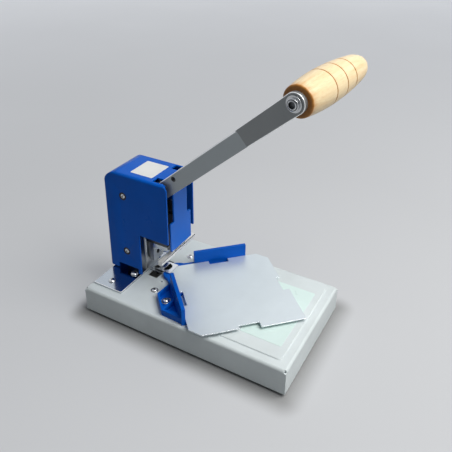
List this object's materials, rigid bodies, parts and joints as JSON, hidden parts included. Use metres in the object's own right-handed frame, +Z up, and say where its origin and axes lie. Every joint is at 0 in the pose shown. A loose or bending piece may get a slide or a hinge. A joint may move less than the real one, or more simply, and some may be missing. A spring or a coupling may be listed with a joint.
{
  "type": "half moon calendar punch",
  "caption": "Bench punch with a long lever and cross handle that cuts a half moon thumb notch in calendar sheets held in a V of guides on a folded steel base.",
  "frame": {"origin": "centre of the base's rectangle, on the surface the rubber feet stand on", "axes": "+X along the base towards the operator, +Y to the operator's right, +Z up"},
  "size_m": [0.3, 0.217, 0.3629],
  "materials": {
    "grey_enamel": "satin light grey baked enamel",
    "blue_enamel": "satin blue powder coat",
    "zinc": "bright zinc plating",
    "machined": "machined and oiled steel",
    "bright_steel": "bright plated steel",
    "black_steel": "black oxide",
    "lever_steel": "matt grey plating",
    "bronze": "sintered bronze",
    "spring_steel": "drawn wire",
    "beech": "turned and lacquered, scorched at the bar end",
    "rubber": "matt black"
  },
  "bodies": {
    "frame": {"base_pan": "grey_enamel", "rubber_feet": "rubber", "foot_plate": "zinc", "foot_screws": "zinc", "base_screws": "zinc", "column": "machined", "column_bolts": "zinc", "ram_rail": "machined", "rail_screws": "black_steel", "spring_bracket": "machined", "bracket_screws": "zinc", "cover": "blue_enamel", "cover_spacers": "zinc", "cover_screws": "zinc", "lower_die": "bright_steel", "die_screws": "black_steel", "guide_near": "blue_enamel", "guide_far": "blue_enamel", "guide_screws": "zinc", "guide_washers": "zinc", "table_plate": "bright_steel", "table_buffers": "rubber", "pivot_shaft": "machined", "pivot_rings": "black_steel", "thrust_washers": "bronze", "return_spring": "spring_steel"},
    "lever": {"lever_fork": "lever_steel", "pivot_bushes": "bronze", "drive_pin": "machined", "drive_roller": "bronze", "lever_bar": "lever_steel", "handle": "beech", "handle_screw": "zinc", "handle_washer": "zinc"},
    "ram": {"ram": "machined", "punch_holder": "bright_steel", "punch": "machined", "holder_screws": "black_steel", "front_panel": "blue_enamel", "clamp_springs": "spring_steel"},
    "clamp": {"clamp_bar": "bright_steel", "clamp_pins": "bright_steel"}
  },
  "joints": [
    {"name": "lever_pivot", "type": "hinge", "parent": "frame", "child": "lever", "pos_m": [-0.11551, 0, 0.118], "axis": [0, 1, 0], "range_deg": [0, 42], "stiffness_Nm_per_rad": 1.2, "springref_deg": -108.86},
    {"name": "ram_slide", "type": "slide", "parent": "frame", "child": "ram", "axis": [0, 0, -1], "range_m": [0, 0.033], "deforming": ["return_spring"]},
    {"name": "clamp_slide", "type": "slide", "parent": "ram", "child": "clamp", "axis": [0, 0, 1], "range_m": [0, 0.01], "stiffness_N_per_m": 800, "springref_m": -0.01, "deforming": ["clamp_springs"]}
  ],
  "couplings": [
    {"joint": "ram_slide", "follows": "lever_pivot", "m_per_rad": 0.045018}
  ]
}
